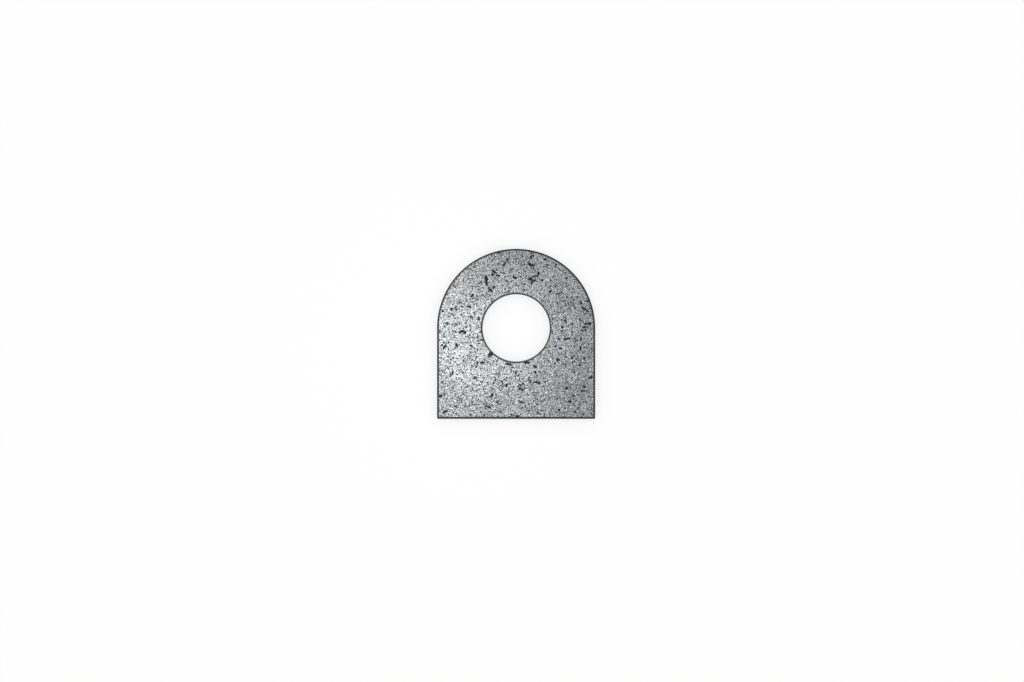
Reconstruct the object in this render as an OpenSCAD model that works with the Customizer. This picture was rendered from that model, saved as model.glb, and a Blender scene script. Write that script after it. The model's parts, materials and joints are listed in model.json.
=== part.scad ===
// Tab lock washer for an M16 bolt: one flat blank of sheet steel with a round crown,
// a straight locking edge and a clearance bore.
// The blank was cut face up by one stroke and its bore pierced by another, so each cut edge
// has a die roll, a sheared land and a leaning fracture, and the bore has them upside down.
// Origin on the bore's axis in the lower face, +Z through the sheet, locking edge towards -Y.

/* [Outline] */
// Width across the two straight sides, which is also the crown's diameter
plate_w = 40; // [26:0.5:60]
// Distance from the bore's axis to the straight locking edge
edge_reach = 23; // [14:0.5:40]
// Radius of the two upright corners beside the locking edge
corner_r = 0.3; // [0.1:0.05:0.6]

/* [Sheet and bore] */
// Thickness of the sheet
sheet_t = 2; // [1.2:0.1:4]
// Diameter of the bore, measured on its sheared land
bore_d = 17; // [8:0.5:24]

/* [Cut edges] */
// Width of the die roll, where the cut begins
roll_w = 0.4; // [0.2:0.05:0.6]
// Depth of the die roll
roll_h = 0.15; // [0.05:0.05:0.2]
// Height of the smooth sheared land below the die roll
land_h = 0.8; // [0.3:0.05:0.9]
// How far the fracture leans away from the land
break_w = 0.2; // [0.05:0.05:0.4]

/* [Hidden] */
$fn = 128;
// Radius of the crown, which runs into the straight sides
crown_r = plate_w / 2;
// Radius of the bore's land
bore_r = bore_d / 2;
// Radius of the arc that a die roll follows, level with the face and steepest at the land
roll_r = (roll_w * roll_w + roll_h * roll_h) / (2 * roll_h);
// Height of the fracture, which takes up the rest of the sheet
break_h = sheet_t - roll_h - land_h;
// How far a cutting shape stands clear of the face that it cuts
clear = 1;

// What a die roll takes off an edge at the origin, with the sheet to the left of it and below
module roll_cut() {
    translate([-roll_w, -roll_r])
        difference() {
            square([roll_w + clear, roll_r + clear]);
            circle(r = roll_r);
        }
}

// Half section of the blank, from its middle out to a cut edge: height upwards, reach to the right
module blank_section(reach) {
    difference() {
        polygon([
            [0, 0],
            [reach - break_w, 0],
            [reach, break_h],
            [reach, sheet_t],
            [0, sheet_t]
        ]);
        translate([reach, sheet_t]) roll_cut();
    }
}

// The round half of the blank
module crown() {
    rotate_extrude(angle = 180) blank_section(crown_r);
}

// Both straight sides, from the crown down to the locking edge
module straight_sides() {
    rotate([90, 0, 0])
        linear_extrude(edge_reach) {
            blank_section(crown_r);
            mirror([1, 0]) blank_section(crown_r);
        }
}

// The straight locking edge, across the whole width
module locking_edge() {
    rotate([90, 0, -90])
        linear_extrude(plate_w, center = true) blank_section(edge_reach);
}

// What the die's rounded corner leaves off an upright corner at the origin, with the sheet at upper left
module corner_cut() {
    translate([-corner_r, corner_r, -clear])
        difference() {
            translate([0, -corner_r - clear, 0])
                cube([corner_r + clear, corner_r + clear, sheet_t + 2 * clear]);
            cylinder(r = corner_r, h = sheet_t + 2 * clear);
        }
}

// The square half of the blank, with its two corners
module skirt() {
    difference() {
        intersection() {
            straight_sides();
            locking_edge();
        }
        for (side = [0, 1])
            mirror([side, 0, 0])
                translate([crown_r, -edge_reach, 0]) corner_cut();
    }
}

// What the piercing punch takes out: the die roll lies in the lower face and the fracture opens upwards
module bore() {
    rotate_extrude() {
        polygon([
            [0, -clear],
            [bore_r, -clear],
            [bore_r, roll_h + land_h],
            [bore_r + break_w, sheet_t],
            [bore_r + break_w, sheet_t + clear],
            [0, sheet_t + clear]
        ]);
        translate([bore_r, 0]) rotate(180) roll_cut();
    }
}

module lock_washer() {
    color([0.62, 0.64, 0.66])
        difference() {
            union() {
                crown();
                skirt();
            }
            bore();
        }
}

lock_washer();
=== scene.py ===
import json
import math
import random

import bmesh
import bpy
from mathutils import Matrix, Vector, kdtree, noise


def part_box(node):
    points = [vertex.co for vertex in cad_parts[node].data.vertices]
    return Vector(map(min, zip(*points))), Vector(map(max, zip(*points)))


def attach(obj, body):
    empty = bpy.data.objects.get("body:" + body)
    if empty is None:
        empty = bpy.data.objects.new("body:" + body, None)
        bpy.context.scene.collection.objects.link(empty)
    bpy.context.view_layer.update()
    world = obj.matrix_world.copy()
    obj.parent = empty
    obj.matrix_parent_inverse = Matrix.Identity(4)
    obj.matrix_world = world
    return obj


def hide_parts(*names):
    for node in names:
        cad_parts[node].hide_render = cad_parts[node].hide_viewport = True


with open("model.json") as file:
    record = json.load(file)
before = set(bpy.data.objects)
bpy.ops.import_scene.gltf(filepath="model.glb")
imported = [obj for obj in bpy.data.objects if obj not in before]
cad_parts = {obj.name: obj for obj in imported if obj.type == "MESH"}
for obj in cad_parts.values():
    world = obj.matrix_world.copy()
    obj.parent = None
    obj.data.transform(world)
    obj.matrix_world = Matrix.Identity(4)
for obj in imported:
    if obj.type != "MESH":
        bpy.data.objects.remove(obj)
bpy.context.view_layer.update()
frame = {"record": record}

# The view: the washer lies flat and is looked at from straight above, with its locking edge
# towards the bottom of the picture. A long lens keeps the wall of the bore almost out of sight.
MM = 0.001
PICTURE_WIDTH_PX = 1024
PICTURE_MIDDLE_PX = (512.0, 341.0)
WASHER_WIDTH_PX = 158.2
BORE_MIDDLE_PX = (516.15, 327.9)
LENS_MM = 100
SENSOR_MM = 36

low_corner, high_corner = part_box("lock_washer")
washer_w = high_corner.x - low_corner.x
metres_per_px = washer_w / WASHER_WIDTH_PX

lens = bpy.data.cameras.new("long_lens")
lens.lens = LENS_MM
lens.sensor_width = SENSOR_MM
camera = bpy.data.objects.new("camera", lens)
bpy.context.scene.collection.objects.link(camera)
camera.location = (
    (PICTURE_MIDDLE_PX[0] - BORE_MIDDLE_PX[0]) * metres_per_px,
    (BORE_MIDDLE_PX[1] - PICTURE_MIDDLE_PX[1]) * metres_per_px,
    high_corner.z + PICTURE_WIDTH_PX * metres_per_px * LENS_MM / SENSOR_MM,
)
bpy.context.scene.camera = camera
bpy.context.scene.view_settings.view_transform = "Standard"


# The washer: one blank of sheet steel, cut out and pierced in a press and left as it fell, so every
# cut edge keeps its rounded die roll, its smooth sheared land and its rough, leaning fracture.
# The faces are dull and grainy, with dark corrosion pits that are dents in the metal itself.
crown_r = high_corner.x
edge_reach = -low_corner.y
sheet_t = high_corner.z
bore_mount = next(m for m in frame["record"]["mounts"] if m["name"] == "bore")
bore_r = bore_mount["dims"]["r_mm"] * MM
land_h = bore_mount["dims"]["length_mm"] * MM
roll_w = 0.4 * MM
roll_h = 0.15 * MM
break_w = 0.2 * MM
corner_r = 0.3 * MM
break_h = sheet_t - roll_h - land_h
roll_r = (roll_w ** 2 + roll_h ** 2) / (2 * roll_h)

# How finely it is divided, and how its points crowd towards the two upright corners
RING_POINTS = 400
UPPER_FACE_STEPS = 50
LOWER_FACE_STEPS = 24
ROLL_STEPS = 5
LAND_STEPS = 2
BREAK_STEPS = 5
CORNER_CUT = 0.3
CORNER_PULL = 0.9
CORNER_SPAN = math.radians(4)
CROWDING_POWER = 8
MERGE_GAP = 0.002 * MM
SMOOTH_ANGLE = math.radians(28)

# How ragged the torn metal is
RAGGED_H = 0.09 * MM
RAGGED_WAVES = 20
FINER_WAVES = 2.7
FINER_SHARE = 0.5
TORN_DEPTH = 0.02 * MM
OUTER_SEED = 1.0
BORE_SEED = 11.0

# Where the painted shade along the cut edges lies, a dark band that stands in for their shade, and how
# strongly each finish is marked on the points of the cut edges
EDGE_SHADE_W = 0.10 * MM
EDGE_SHADE_FADE = 0.25 * MM
ROLL_EDGE_SHADE = 0.7
LAND_EDGE_SHADE = 0.4
OUTER_BREAK_SHADE = 0.5
BORE_BREAK_SHADE = 0.75
LAND_TORN = 0.5
LATE_POWER = 4


def outline_reach(direction, inset):
    """How far the blank reaches from the bore's axis in a direction, its edge cut back by an inset."""
    across = abs(math.cos(direction))
    down = -math.sin(direction)
    if down <= 0:
        return crown_r - inset
    reach = (edge_reach - inset) / down
    if reach * across > crown_r - inset:
        reach = (crown_r - inset) / across
    middle_x = crown_r - corner_r
    middle_y = edge_reach - corner_r
    past_x = reach * across - middle_x
    past_y = reach * down - middle_y
    if past_x > 0 and past_y > 0 and math.hypot(past_x, past_y) > corner_r:
        in_line = middle_x * across + middle_y * down
        reach = in_line + math.sqrt(in_line ** 2 - middle_x ** 2 - middle_y ** 2 + corner_r ** 2)
    return reach


def crowd(direction):
    """Draws a direction towards the upright corner close to it, so that the corner gets more points."""
    corner_turn = math.atan2(edge_reach - CORNER_CUT * corner_r, crown_r - CORNER_CUT * corner_r)
    for corner in (-corner_turn, corner_turn - math.pi):
        off = direction - corner
        direction -= CORNER_PULL * off * math.exp(-(off / CORNER_SPAN) ** 2)
    return direction


def roll_drop(share):
    """Depth of a die roll below its face, from 0 where it begins to the full depth at the land."""
    return roll_r - math.sqrt(roll_r ** 2 - (share * roll_w) ** 2)


def ragged(direction, size, seed):
    """How far a torn line round a cut edge strays from its mean place in a direction."""
    place = Vector((math.cos(direction), math.sin(direction), seed)) * RAGGED_WAVES
    return size * (noise.noise(place) + FINER_SHARE * noise.noise(place * FINER_WAVES))


def lay_ring(reach, height, crowding=0.0, film=0.0, land=0.0, torn=0.0):
    """Puts the selected ring of points where it belongs and marks the finish that it has there.
    Reach and height depend on the direction. The dark edge mark is painted shade along the cut edges,
    land is sheared metal and torn is broken metal."""
    mesh = bmesh.from_edit_mesh(washer.data)
    marks = mesh.verts.layers.float
    for point in mesh.verts:
        if point.select:
            even = point[marks["turn"]]
            direction = even + crowding * (crowd(even) - even)
            out = reach(direction)
            point.co = (out * math.cos(direction), out * math.sin(direction), height(direction))
            point[marks["film"]] = film
            point[marks["land"]] = land
            point[marks["torn"]] = torn
    bmesh.update_edit_mesh(washer.data)


def next_ring(reach, height, **finish):
    """Draws the selected ring out into a strip of faces that ends at a new ring."""
    bpy.ops.mesh.extrude_edges_move(TRANSFORM_OT_translate={"value": (0, 0, 0)})
    lay_ring(reach, height, **finish)


def cut_wall(reach, height, seed, break_film, crowding=0.0):
    """Runs a cut edge on from the selected ring: die roll, then land, then fracture.
    Reach depends on the direction and on how far the metal is cut back, height on the depth
    below the face where the cut begins, and the last but one argument gives the painted edge shade from
    the share of the fracture that is passed."""
    for step in range(ROLL_STEPS + 1):
        share = step / ROLL_STEPS
        next_ring(
            lambda turn: reach(turn, roll_w * (1 - share)),
            lambda turn: height(roll_drop(share)),
            crowding=crowding,
            film=min(1.0, ROLL_EDGE_SHADE + share),
            land=share ** LATE_POWER,
        )
    for step in range(1, LAND_STEPS + 1):
        share = step / LAND_STEPS
        next_ring(
            lambda turn: reach(turn, 0),
            lambda turn: height(roll_h + share * (land_h + ragged(turn, RAGGED_H, seed))),
            crowding=crowding,
            film=LAND_EDGE_SHADE * (1 - share),
            land=1.0,
            torn=LAND_TORN * share ** LATE_POWER,
        )
    for step in range(1, BREAK_STEPS + 1):
        share = step / BREAK_STEPS
        torn_depth = TORN_DEPTH * (1 - share)
        next_ring(
            lambda turn: reach(turn, break_w * share + abs(ragged(turn, torn_depth, seed + 1 + step))),
            lambda turn: height(sheet_t - (1 - share) * (break_h - ragged(turn, RAGGED_H, seed))),
            crowding=crowding,
            film=break_film(share),
            torn=1.0,
        )


bpy.ops.object.select_all(action="DESELECT")
bpy.ops.mesh.primitive_circle_add(vertices=RING_POINTS, radius=bore_r, calc_uvs=False)
washer = bpy.context.object
washer.name = "washer_blank"
for mark in ("turn", "film", "land", "torn"):
    washer.data.attributes.new(mark, "FLOAT", "POINT")
bpy.ops.object.mode_set(mode="EDIT")
mesh = bmesh.from_edit_mesh(washer.data)
for point in mesh.verts:
    point[mesh.verts.layers.float["turn"]] = math.atan2(point.co.y, point.co.x)
bmesh.update_edit_mesh(washer.data)

# The upper face, from the mouth of the bore out to the die roll
upper_mouth_r = bore_r + break_w
inner_clean_r = upper_mouth_r + EDGE_SHADE_W + EDGE_SHADE_FADE
# The mouth of the bore and a narrow band round it carry full painted shade
lay_ring(lambda turn: upper_mouth_r, lambda turn: sheet_t, film=1.0)
next_ring(lambda turn: upper_mouth_r + EDGE_SHADE_W, lambda turn: sheet_t, film=1.0)
for step in range(UPPER_FACE_STEPS + 1):
    share = step / UPPER_FACE_STEPS
    next_ring(
        lambda turn: (1 - share) * inner_clean_r + share * outline_reach(turn, roll_w + EDGE_SHADE_FADE),
        lambda turn: sheet_t,
        crowding=share ** CROWDING_POWER,
    )

# The outer wall, downwards
cut_wall(
    outline_reach,
    lambda depth: sheet_t - depth,
    OUTER_SEED,
    lambda share: OUTER_BREAK_SHADE * share ** LATE_POWER,
    crowding=1.0,
)

# The lower face, from the outer wall in to the bore
lower_clean_r = bore_r + roll_w + EDGE_SHADE_FADE
for step in range(LOWER_FACE_STEPS + 1):
    share = step / LOWER_FACE_STEPS
    next_ring(
        lambda turn: (1 - share) * outline_reach(turn, break_w + EDGE_SHADE_FADE) + share * lower_clean_r,
        lambda turn: 0.0,
        crowding=(1 - share) ** CROWDING_POWER,
    )

# The wall of the bore, upwards, because it was pierced the other way up
cut_wall(
    lambda turn, inset: bore_r + inset,
    lambda depth: depth,
    BORE_SEED,
    lambda share: BORE_BREAK_SHADE + (1 - BORE_BREAK_SHADE) * share,
)
bpy.ops.mesh.select_all(action="SELECT")
bpy.ops.mesh.remove_doubles(threshold=MERGE_GAP)
bpy.ops.mesh.normals_make_consistent(inside=False)

# The pits: lines of them that stand out on the upper face, each from x, y to x, y in mm from the
# bore's axis with the radius of its pits, then fine ones strewn over both faces
PIT_LINES_MM = (
    (-7.6, 13.0, -7.5, 12.2, 0.34), (-7.4, 11.8, -7.4, 11.2, 0.26), (-6.1, 14.6, -5.1, 13.9, 0.26),
    (-6.2, 13.5, -5.8, 13.4, 0.26), (-4.9, 13.1, -4.2, 13.3, 0.24), (-7.0, 10.3, -6.8, 9.7, 0.26),
    (-6.7, 9.5, -6.2, 9.4, 0.32), (-5.6, 10.3, -5.4, 10.4, 0.24), (-2.7, 11.9, -2.3, 11.6, 0.24),
    (-3.2, 13.8, -2.9, 13.8, 0.20), (-0.5, 12.9, -0.1, 12.5, 0.26), (1.0, 12.9, 1.3, 12.9, 0.20),
    (-2.2, 17.3, -2.0, 17.2, 0.24), (-3.2, 15.7, -2.6, 16.5, 0.24), (4.3, 18.4, 4.4, 18.1, 0.28),
    (3.7, 17.8, 3.9, 17.7, 0.22), (3.2, 16.4, 3.7, 15.9, 0.28), (4.1, 16.0, 4.4, 15.9, 0.24),
    (5.6, 13.9, 5.8, 13.4, 0.28), (5.4, 13.2, 4.3, 13.0, 0.24), (3.4, 12.5, 3.6, 12.2, 0.36),
    (4.1, 11.6, 3.9, 11.0, 0.22), (4.1, 11.9, 4.9, 12.1, 0.24), (6.6, 12.0, 6.6, 11.8, 0.20),
    (1.8, 9.8, 1.9, 9.5, 0.24), (-1.9, 9.3, -1.8, 9.2, 0.22), (-11.3, 8.0, -10.8, 8.4, 0.24),
    (8.5, 8.9, 8.9, 9.3, 0.26), (10.4, 8.5, 10.9, 8.7, 0.18), (-12.2, 5.6, -11.7, 5.3, 0.24),
    (-13.7, 5.5, -13.5, 5.4, 0.20), (-16.5, 4.7, -16.4, 4.6, 0.28), (-15.2, 4.6, -15.1, 4.4, 0.20),
    (-18.7, 4.3, -18.5, 4.3, 0.22), (7.3, 17.4, 7.3, 17.1, 0.24), (8.1, 16.0, 8.2, 16.0, 0.22),
    (10.1, 16.0, 10.2, 16.0, 0.20), (16.4, 6.6, 16.5, 6.1, 0.26), (16.7, 5.3, 17.9, 4.4, 0.24),
    (18.1, 6.8, 18.1, 6.7, 0.22), (12.6, 12.7, 12.8, 12.4, 0.18), (-14.3, -1.3, -13.9, -0.8, 0.24),
    (-13.7, -0.7, -12.8, -1.2, 0.26), (-15.2, -4.0, -15.1, -4.4, 0.26),
    (-18.9, -4.3, -18.6, -4.5, 0.22), (-18.3, -5.0, -17.8, -4.6, 0.24),
    (-11.5, -4.3, -11.2, -4.7, 0.22), (-6.9, -6.7, -6.0, -6.5, 0.32), (-6.8, -7.4, -6.2, -7.0, 0.26),
    (2.3, -8.8, 3.2, -8.7, 0.26), (-9.9, -9.0, -9.7, -8.8, 0.22), (-8.7, -8.9, -8.2, -8.7, 0.26),
    (-7.1, -8.6, -6.9, -8.5, 0.20), (-2.1, -9.1, -1.4, -9.3, 0.24), (4.8, -9.8, 5.1, -9.9, 0.26),
    (-9.5, 2.5, -9.4, 2.2, 0.26), (-9.7, 0.5, -9.5, 0.3, 0.20), (-9.7, -2.2, -9.6, -2.4, 0.20),
    (11.6, 0.3, 11.8, 0.0, 0.26), (11.7, -0.7, 11.7, -0.9, 0.24), (12.3, 1.8, 12.7, 1.6, 0.22),
    (12.1, -3.1, 12.5, -2.7, 0.26), (12.8, -2.7, 13.3, -2.8, 0.22), (16.2, 2.2, 16.3, 2.1, 0.24),
    (17.4, 1.0, 17.7, 1.2, 0.24), (18.3, 1.2, 18.8, 0.9, 0.30), (17.5, 0.3, 16.9, 0.0, 0.24),
    (16.6, -0.7, 17.9, -0.6, 0.20), (16.2, -5.0, 16.4, -5.5, 0.26), (15.7, -5.8, 15.7, -6.0, 0.22),
    (9.1, -0.9, 9.2, -1.3, 0.20), (10.0, -4.6, 10.1, -4.7, 0.20), (11.2, -5.1, 11.3, -5.2, 0.22),
    (10.7, -8.0, 10.8, -8.1, 0.24), (17.2, -7.4, 17.3, -7.9, 0.24), (18.1, -4.1, 18.2, -4.3, 0.22),
    (-17.6, 1.3, -17.2, 1.1, 0.22), (-16.1, 3.4, -15.9, 3.2, 0.22), (-16.1, -11.3, -16.1, -11.7, 0.22),
    (-0.1, -11.3, 0.0, -11.5, 0.28), (4.9, -11.2, 5.0, -11.3, 0.28), (-10.8, -12.8, -10.4, -12.8, 0.22),
    (-5.4, -12.7, -5.1, -13.4, 0.20), (-3.5, -13.6, -3.4, -13.8, 0.20),
    (-2.5, -14.6, -2.3, -14.7, 0.22), (0.7, -14.4, 1.2, -14.7, 0.24), (1.6, -14.0, 1.9, -14.5, 0.24),
    (0.5, -15.0, 1.3, -15.6, 0.22), (1.6, -15.7, 2.2, -15.4, 0.24), (5.3, -13.8, 5.7, -13.9, 0.24),
    (3.5, -13.9, 3.6, -13.8, 0.22), (7.2, -13.7, 7.5, -13.5, 0.18), (18.6, -12.7, 19.0, -12.5, 0.30),
    (12.5, -15.3, 12.9, -15.3, 0.28), (17.2, -14.7, 17.4, -15.1, 0.24),
    (16.6, -16.0, 17.6, -15.9, 0.20), (13.2, -18.8, 13.8, -18.5, 0.26),
    (14.3, -17.2, 14.4, -17.4, 0.20), (16.1, -19.1, 16.2, -19.3, 0.26),
    (-7.9, -16.7, -7.7, -16.8, 0.22), (-6.7, -17.5, -6.0, -17.0, 0.26),
    (-7.5, -19.7, -6.9, -20.1, 0.26), (-19.2, -17.3, -18.9, -17.3, 0.26),
    (-18.2, -21.4, -17.6, -21.0, 0.24), (10.6, -21.0, 10.7, -20.9, 0.26),
    (12.3, -20.2, 12.4, -20.3, 0.22), (14.9, -21.0, 15.0, -21.2, 0.22),
    (17.0, -21.9, 17.1, -21.8, 0.22), (1.1, -18.9, 1.7, -18.8, 0.20), (-4.9, -18.7, -4.5, -18.9, 0.20),
    (5.5, -21.5, 5.6, -21.7, 0.22), (-1.3, -22.0, -1.2, -22.0, 0.20), (0.1, -22.3, 0.6, -22.3, 0.26),
    (-4.5, 18.9, -4.0, 19.0, 0.24), (14.0, -7.5, 14.1, -7.7, 0.24), (10.7, -2.8, 10.9, -2.9, 0.22),
    (9.8, -9.1, 10.0, -9.1, 0.22), (15.2, -3.1, 15.4, -3.1, 0.22), (16.0, -9.3, 16.2, -9.3, 0.24),
    (16.4, -2.7, 16.4, -2.9, 0.22), (18.6, -7.3, 18.7, -7.5, 0.22), (13.8, 0.9, 14.1, 1.0, 0.22),
    (14.6, -11.2, 14.8, -11.1, 0.22),
)
PIT_STEP = 0.22 * MM
PIT_STRAY = 0.14 * MM
PIT_SPREAD = (0.72, 1.32)
LINE_PIT_DARK = (0.85, 1.0)
FINE_PITS = 480
FINE_PIT_R = (0.10 * MM, 0.19 * MM)
FINE_PIT_DARK = (0.6, 1.0)
STREWING_SEED = 16

strewing = random.Random(STREWING_SEED)
line_pits = []
for start_x, start_y, end_x, end_y, pit_r in PIT_LINES_MM:
    start = Vector((start_x, start_y)) * MM
    end = Vector((end_x, end_y)) * MM
    steps = max(1, round((end - start).length / PIT_STEP))
    for step in range(steps + 1):
        place = start.lerp(end, step / steps)
        line_pits.append((
            place.x + strewing.uniform(-PIT_STRAY, PIT_STRAY),
            place.y + strewing.uniform(-PIT_STRAY, PIT_STRAY),
            pit_r * MM * strewing.uniform(*PIT_SPREAD),
            strewing.uniform(*LINE_PIT_DARK),
        ))


def strewn_pits(count):
    """Fine pits at random over a face, between the bore and the die roll."""
    pits = []
    while len(pits) < count:
        x = strewing.uniform(-crown_r, crown_r)
        y = strewing.uniform(-edge_reach, crown_r)
        reach = math.hypot(x, y)
        if bore_r + roll_w < reach < outline_reach(math.atan2(y, x), roll_w):
            pits.append((x, y, strewing.uniform(*FINE_PIT_R), strewing.uniform(*FINE_PIT_DARK)))
    return pits


upper_pits = line_pits + strewn_pits(FINE_PITS)
lower_pits = strewn_pits(FINE_PITS // 2)

# The faces round each pit are cut finer, so that its rim can take its shape
UPPER_MARGIN = 0.18 * MM
LINE_MARGIN = 0.08 * MM
LOWER_MARGIN = 0.22 * MM


def cut_finer(pits, height, margin):
    """Divides the faces that lie within a margin of any of the pits."""
    bpy.ops.mesh.select_all(action="DESELECT")
    mesh = bmesh.from_edit_mesh(washer.data)
    mesh.faces.ensure_lookup_table()
    tree = kdtree.KDTree(len(mesh.faces))
    for face in mesh.faces:
        tree.insert(face.calc_center_median(), face.index)
    tree.balance()
    for x, y, pit_r, _ in pits:
        for _, index, _ in tree.find_range((x, y, height), pit_r + margin):
            mesh.faces[index].select_set(True)
    bmesh.update_edit_mesh(washer.data)
    bpy.ops.mesh.subdivide(number_cuts=1)


cut_finer(upper_pits, sheet_t, UPPER_MARGIN)
cut_finer(line_pits, sheet_t, LINE_MARGIN)
cut_finer(lower_pits, 0.0, LOWER_MARGIN)
bpy.ops.object.mode_set(mode="OBJECT")

# Each pit is pressed into its face, and its darkness is kept on the points for the material.
# Its depth and its reach are shares of its radius.
PIT_DEPTH = 0.45
PIT_REACH = 1.8
PIT_UNEVEN = 0.5
PIT_RIPPLE = 0.2 * MM

pit_depth = [0.0] * len(washer.data.vertices)
pit_dark = [0.0] * len(washer.data.vertices)
point_tree = kdtree.KDTree(len(washer.data.vertices))
for point in washer.data.vertices:
    point_tree.insert(point.co, point.index)
point_tree.balance()
for height, pits in ((sheet_t, upper_pits), (0.0, lower_pits)):
    for x, y, pit_r, dark in pits:
        for place, index, away in point_tree.find_range((x, y, height), PIT_REACH * pit_r):
            uneven = away / pit_r + PIT_UNEVEN * noise.noise(place / PIT_RIPPLE)
            fall = max(0.0, 1 - uneven ** 2 / 2) ** 2
            pit_depth[index] = max(pit_depth[index], PIT_DEPTH * pit_r * dark * fall)
            pit_dark[index] = max(pit_dark[index], dark * fall)
for point in washer.data.vertices:
    point.co.z += math.copysign(pit_depth[point.index], 0.5 * sheet_t - point.co.z)
washer.data.attributes.new("pit", "FLOAT", "POINT").data.foreach_set("value", pit_dark)
washer.data.attributes.remove(washer.data.attributes["turn"])
bpy.ops.object.shade_smooth_by_angle(angle=SMOOTH_ANGLE)


def add_node(tree, kind, inputs=None, **options):
    """Adds a node, sets its options, and fills or links its inputs by name or number."""
    node = tree.nodes.new(kind)
    for name, value in options.items():
        setattr(node, name, value)
    for name, value in (inputs or {}).items():
        if isinstance(value, bpy.types.NodeSocket):
            tree.links.new(value, node.inputs[name])
        else:
            node.inputs[name].default_value = value
    return node


def reckon(tree, operation, first, second=0.0, third=0.0):
    """The result of one sum on two or three numbers or sockets."""
    inputs = {0: first, 1: second, 2: third}
    return add_node(tree, "ShaderNodeMath", inputs, operation=operation).outputs[0]


def weighed(tree, base, *parts):
    """A base value with a share of each of the other values added to it."""
    for share, value in parts:
        base = reckon(tree, "MULTIPLY_ADD", value, share, base)
    return base


def ease(tree, value, span, low=0.0, high=1.0):
    """A number that goes smoothly from low to high as the value goes over a span."""
    start, end = span
    inputs = {"Value": value, "From Min": start, "From Max": end, "To Min": low, "To Max": high}
    return add_node(tree, "ShaderNodeMapRange", inputs, interpolation_type="SMOOTHSTEP").outputs[0]


def between(tree, share, first, second):
    """A number part of the way from the first to the second."""
    return add_node(tree, "ShaderNodeMix", {0: share, 2: first, 3: second}, data_type="FLOAT").outputs[0]


def mark_on(tree, name):
    """What the mesh's points hold under a name."""
    return add_node(tree, "ShaderNodeAttribute", attribute_name=name).outputs["Fac"]


def noise_at(tree, place, size, detail=2.0, roughness=0.6):
    """Soft random patches of about a size, around 0.5."""
    inputs = {"Vector": place, "Scale": 1 / size, "Detail": detail, "Roughness": roughness}
    return add_node(tree, "ShaderNodeTexNoise", inputs).outputs["Fac"]


def cells_at(tree, place, size):
    """Random cells of about a size: how far each one's middle is, and a random number for each."""
    cells = add_node(tree, "ShaderNodeTexVoronoi", {"Vector": place, "Scale": 1 / size})
    chance = add_node(tree, "ShaderNodeSeparateColor", {"Color": cells.outputs["Color"]})
    return cells.outputs["Distance"], chance.outputs[0]


# The sizes of the marks in the steel
GRAIN_SIZE = 0.27 * MM
FINE_GRAIN_SIZE = 0.11 * MM
FACET_SIZE = 0.30 * MM
SPECK_SIZE = 0.55 * MM
PATCH_SIZE = 0.9 * MM
CLOUD_SIZE = 8 * MM
STREAK_SIZE = 0.25 * MM
STREAK_SQUEEZE = 0.07

# What makes the borders of the marks ragged, and the span over which each one comes in
SPECK_CHANCE = -0.35
SPECK_GRAIN = 0.45
SPECK_FINE = 0.25
SPECK_SPAN = (0.53, 0.25)
PIT_GRAIN = 0.7
PIT_FINE = 0.4
PIT_SPAN = (0.55, 0.95)
# The span of the painted highlight round each pit's rim
PIT_RIM_HIGHLIGHT_SPAN = (0.02, 0.15)
SHALLOW_PIT_SPAN = (0.15, 0.55)
TORN_GRAIN = 0.5
TORN_SPAN = (0.6, 0.9)
# The ragged border of the painted shade along the cut edges
EDGE_SHADE_PATCH = 0.7
EDGE_SHADE_GRAIN = 0.8
EDGE_SHADE_SPAN = (0.98, 1.55)
CLOUD_SPAN = (0.3, 0.7)

# The tone of each finish, from 0 for dark to 1 for bright, and what the marks add to it
FACE_TONE = -0.44
GRAIN_TONE = 1.30
FACET_TONE = 0.36
FINE_TONE = 0.35
CLOUD_TONE = 0.04
SPECK_TONE = -0.66
# A painted highlight round the rim of each pit
PIT_RIM_HIGHLIGHT_TONE = 0.10
LAND_TONE = 0.34
LAND_STREAK_TONE = 0.5
TORN_TONE = -0.08
TORN_GRAIN_TONE = 0.8
# The painted shade along the cut edges: dark, with paler grain and patches
EDGE_SHADE_TONE = -0.23
EDGE_SHADE_GRAIN_TONE = 0.35
EDGE_SHADE_PATCH_TONE = 0.20
PIT_TONE = -0.12
PIT_FINE_TONE = 0.25
SHALLOW_PIT_TONE = 0.14
DARK_STEEL = (0.022, 0.019, 0.0155, 1)
GREY_STEEL = (0.345, 0.366, 0.387, 1)
BRIGHT_STEEL = (0.89, 0.90, 0.905, 1)

# The relief that is too fine for the mesh, and how rough and how metallic each finish is
RELIEF_DEPTH = 0.10 * MM
FACET_RELIEF = 0.25
SPECK_RELIEF = -0.3
LAND_RELIEF = 0.3
EDGE_SHADE_RELIEF = 0.5
FINE_RELIEF = 0.2
FACE_ROUGH = 0.32
FACET_ROUGH = -0.10
LAND_ROUGH = 0.26
TORN_ROUGH = 0.58
DULL_ROUGH = 0.60
EDGE_SHADE_DULL = 0.5
DULL_METALLIC = 0.4
SHEEN = 0.2


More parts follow.
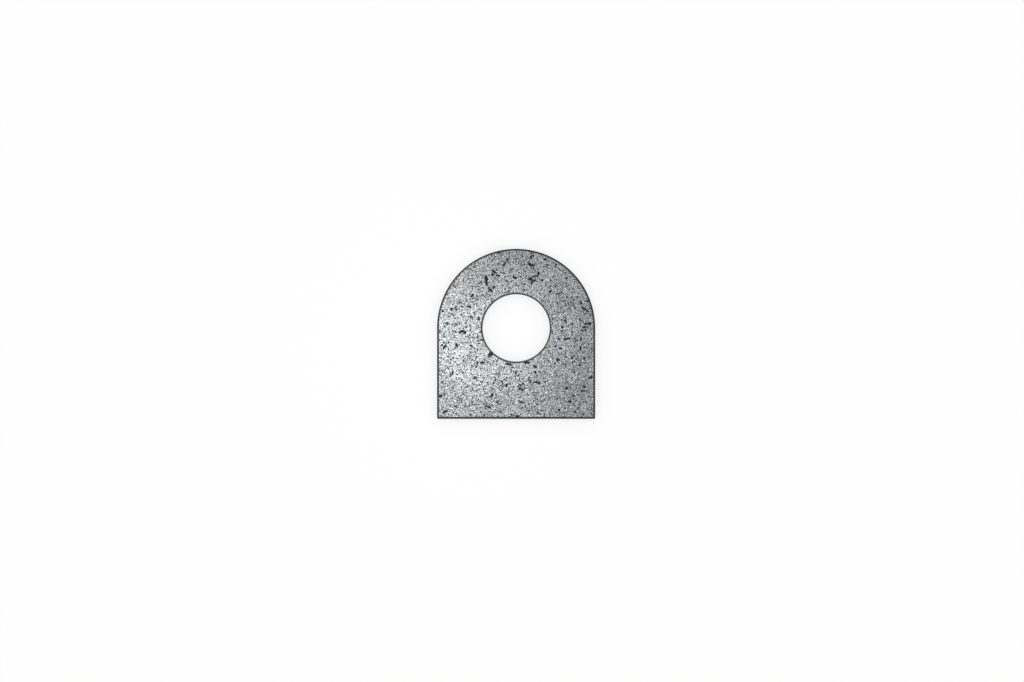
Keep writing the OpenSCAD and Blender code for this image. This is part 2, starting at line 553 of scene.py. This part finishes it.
def pitted_steel():
    """Dull grey steel: crystalline grain, fine dark specks, pits, the finishes of the cut edges, painted
    shade along those edges and a painted highlight round each pit.
    """
    material = bpy.data.materials.new("pitted_steel")
    material.use_nodes = True
    tree = material.node_tree
    place = add_node(tree, "ShaderNodeTexCoord").outputs["Object"]

    # Marks in the metal, the same on every finish
    grain = noise_at(tree, place, GRAIN_SIZE)
    fine = noise_at(tree, place, FINE_GRAIN_SIZE)
    cloud = noise_at(tree, place, CLOUD_SIZE)
    patch = noise_at(tree, place, PATCH_SIZE)
    _, facet = cells_at(tree, place, FACET_SIZE)
    speck_away, speck_chance = cells_at(tree, place, SPECK_SIZE)
    speck = weighed(tree, speck_away, (SPECK_CHANCE, speck_chance))
    speck = weighed(tree, speck, (SPECK_GRAIN, grain), (SPECK_FINE, fine))
    speck = ease(tree, speck, SPECK_SPAN)
    upright = add_node(tree, "ShaderNodeMapping", {"Vector": place, "Scale": (1.0, 1.0, STREAK_SQUEEZE)})
    streak = noise_at(tree, upright.outputs[0], STREAK_SIZE, detail=3.0)

    # Where each finish lies
    pit_mark = mark_on(tree, "pit")
    # A painted highlight on the rim round each pit
    pit_rim_highlight = ease(tree, pit_mark, PIT_RIM_HIGHLIGHT_SPAN)
    pit = ease(tree, weighed(tree, pit_mark, (PIT_GRAIN, grain), (PIT_FINE, fine)), PIT_SPAN)
    land = mark_on(tree, "land")
    torn = ease(tree, weighed(tree, mark_on(tree, "torn"), (TORN_GRAIN, grain)), TORN_SPAN)
    # Painted shade along the cut edges, dark with ragged patches
    film = weighed(tree, mark_on(tree, "film"), (EDGE_SHADE_PATCH, patch), (EDGE_SHADE_GRAIN, grain))
    film = ease(tree, film, EDGE_SHADE_SPAN)
    dull = reckon(tree, "MAXIMUM", pit, reckon(tree, "MULTIPLY", film, EDGE_SHADE_DULL))

    # Tone and colour
    clouding = ease(tree, cloud, CLOUD_SPAN, -CLOUD_TONE, CLOUD_TONE)
    tone = weighed(tree, FACE_TONE, (GRAIN_TONE, grain), (FACET_TONE, facet), (FINE_TONE, fine))
    tone = weighed(tree, tone, (1.0, clouding), (SPECK_TONE, speck), (PIT_RIM_HIGHLIGHT_TONE, pit_rim_highlight))
    tone = between(tree, land, tone, weighed(tree, LAND_TONE, (LAND_STREAK_TONE, streak)))
    tone = between(tree, torn, tone, weighed(tree, TORN_TONE, (TORN_GRAIN_TONE, grain)))
    # The tone of the painted edge shade
    film_tone = weighed(tree, EDGE_SHADE_TONE, (EDGE_SHADE_GRAIN_TONE, grain), (EDGE_SHADE_PATCH_TONE, patch))
    tone = between(tree, film, tone, film_tone)
    shallow = ease(tree, pit_mark, SHALLOW_PIT_SPAN, SHALLOW_PIT_TONE, 0.0)
    pit_tone = weighed(tree, PIT_TONE, (PIT_FINE_TONE, fine), (1.0, shallow))
    tone = between(tree, pit, tone, pit_tone)
    ramp = add_node(tree, "ShaderNodeValToRGB", {"Fac": tone})
    ramp.color_ramp.elements[0].color = DARK_STEEL
    ramp.color_ramp.elements[1].color = BRIGHT_STEEL
    ramp.color_ramp.elements.new(0.5).color = GREY_STEEL

    # Relief, roughness and metal
    relief = weighed(tree, grain, (FACET_RELIEF, facet), (SPECK_RELIEF, speck))
    relief = between(tree, land, relief, reckon(tree, "MULTIPLY", streak, LAND_RELIEF))
    relief = between(tree, film, relief, reckon(tree, "MULTIPLY", patch, EDGE_SHADE_RELIEF))
    relief = weighed(tree, relief, (FINE_RELIEF, fine))
    bump_inputs = {"Height": relief, "Strength": 1.0, "Distance": RELIEF_DEPTH}
    bump = add_node(tree, "ShaderNodeBump", bump_inputs)
    roughness = between(tree, land, weighed(tree, FACE_ROUGH, (FACET_ROUGH, facet)), LAND_ROUGH)
    roughness = between(tree, torn, roughness, TORN_ROUGH)
    roughness = between(tree, dull, roughness, DULL_ROUGH)
    surface = tree.nodes["Principled BSDF"]
    surface.inputs["Specular IOR Level"].default_value = SHEEN
    tree.links.new(ramp.outputs["Color"], surface.inputs["Base Color"])
    tree.links.new(bump.outputs["Normal"], surface.inputs["Normal"])
    tree.links.new(between(tree, dull, 1.0, DULL_METALLIC), surface.inputs["Metallic"])
    tree.links.new(roughness, surface.inputs["Roughness"])
    return material


washer.data.materials.append(pitted_steel())
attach(washer, "root")
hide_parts("lock_washer")


# The floor: a wide sheet of white paper that the washer lies on. It shows white to the camera and in
# reflections, darkens softly close to the washer, and is open to a look from below.
FLOOR_W = 6
FLOOR_GAP = 0.02 * MM
WHITE = (1, 1, 1, 1)
PAPER_WHITE = (0.9, 0.9, 0.9, 1)
PAPER_ROUGH = 0.9
SHOWN_SHARE = 0.96
OPEN_WHITE = 1.0
SHADED_WHITE = 0.855
SHADOW_REACH = 5 * MM
SHADOW_SPAN = (0.4, 0.95)
SHADOW_SAMPLES = 4


def white_paper():
    """White paper: its own white under a show of plain white that fades in the washer's shadow."""
    material = bpy.data.materials.new("white_paper")
    material.use_nodes = True
    tree = material.node_tree
    surface = tree.nodes["Principled BSDF"]
    surface.inputs["Base Color"].default_value = PAPER_WHITE
    surface.inputs["Roughness"].default_value = PAPER_ROUGH
    rays = add_node(tree, "ShaderNodeLightPath").outputs
    seen = reckon(tree, "MAXIMUM", rays["Is Camera Ray"], rays["Is Glossy Ray"])
    seen = reckon(tree, "MAXIMUM", seen, rays["Is Transmission Ray"])
    shown = reckon(tree, "MULTIPLY", seen, SHOWN_SHARE)
    openness = add_node(
        tree, "ShaderNodeAmbientOcclusion", {"Distance": SHADOW_REACH}, samples=SHADOW_SAMPLES,
    )
    whiteness = ease(tree, openness.outputs["AO"], SHADOW_SPAN, SHADED_WHITE, OPEN_WHITE)
    white = add_node(tree, "ShaderNodeEmission", {"Color": WHITE, "Strength": whiteness}).outputs[0]
    paper = add_node(tree, "ShaderNodeMixShader", {0: shown, 1: surface.outputs[0], 2: white}).outputs[0]
    from_below = add_node(tree, "ShaderNodeNewGeometry").outputs["Backfacing"]
    clear = add_node(tree, "ShaderNodeBsdfTransparent").outputs[0]
    paper = add_node(tree, "ShaderNodeMixShader", {0: from_below, 1: paper, 2: clear}).outputs[0]
    tree.links.new(paper, tree.nodes["Material Output"].inputs["Surface"])
    return material


bpy.ops.mesh.primitive_plane_add(size=FLOOR_W, location=(0, 0, -FLOOR_GAP))
floor = bpy.context.object
floor.name = "paper_floor"
floor.data.materials.append(white_paper())


# The light: a pale room with brighter and dimmer patches, a dim ceiling and a white backdrop.
# A soft window stands at the back left and a weaker lamp at the front right, and a small lamp
# hangs close above the left side of the washer.
WALLS = 0.85
CEILING = 0.27
CEILING_SPAN = (0.60, 0.97)
DIM_PATCH = 0.70
BRIGHT_PATCH = 1.6
ROOM_PATCH_SIZE = 0.25
ROOM_PATCH_SPAN = (0.42, 0.60)
BACKDROP = 0.985

world = bpy.data.worlds.new("pale_room")
bpy.context.scene.world = world
world.use_nodes = True
room = world.node_tree
look = add_node(room, "ShaderNodeTexCoord").outputs["Generated"]
look_up = add_node(room, "ShaderNodeSeparateXYZ", {"Vector": look}).outputs["Z"]
room_patch = noise_at(room, look, ROOM_PATCH_SIZE, detail=1.0)
room_light = reckon(
    room, "MULTIPLY",
    ease(room, look_up, CEILING_SPAN, WALLS, CEILING),
    ease(room, room_patch, ROOM_PATCH_SPAN, DIM_PATCH, BRIGHT_PATCH),
)
seen = add_node(room, "ShaderNodeLightPath").outputs["Is Camera Ray"]
background = room.nodes["Background"]
background.inputs["Color"].default_value = WHITE
room.links.new(between(room, seen, room_light, BACKDROP), background.inputs["Strength"])


def add_lamp(name, place_mm, aim_mm, size_mm, watts):
    """A round soft lamp that looks from a place towards an aim and isn't seen itself."""
    lamp_data = bpy.data.lights.new(name, "AREA")
    lamp_data.shape = "DISK"
    lamp_data.size = size_mm * MM
    lamp_data.energy = watts
    lamp = bpy.data.objects.new(name, lamp_data)
    bpy.context.scene.collection.objects.link(lamp)
    lamp.location = Vector(place_mm) * MM
    towards = Vector(aim_mm) - Vector(place_mm)
    lamp.rotation_euler = towards.to_track_quat("-Z", "Y").to_euler()
    lamp.visible_camera = False


add_lamp("near_lamp", place_mm=(-14, -6.5, 40), aim_mm=(-14, -6.5, 0), size_mm=24, watts=0.0046)
add_lamp("window", place_mm=(-130, 160, 450), aim_mm=(0, 0, 0), size_mm=160, watts=0.36)
add_lamp("side_lamp", place_mm=(300, -200, 360), aim_mm=(0, 0, 0), size_mm=100, watts=0.13)
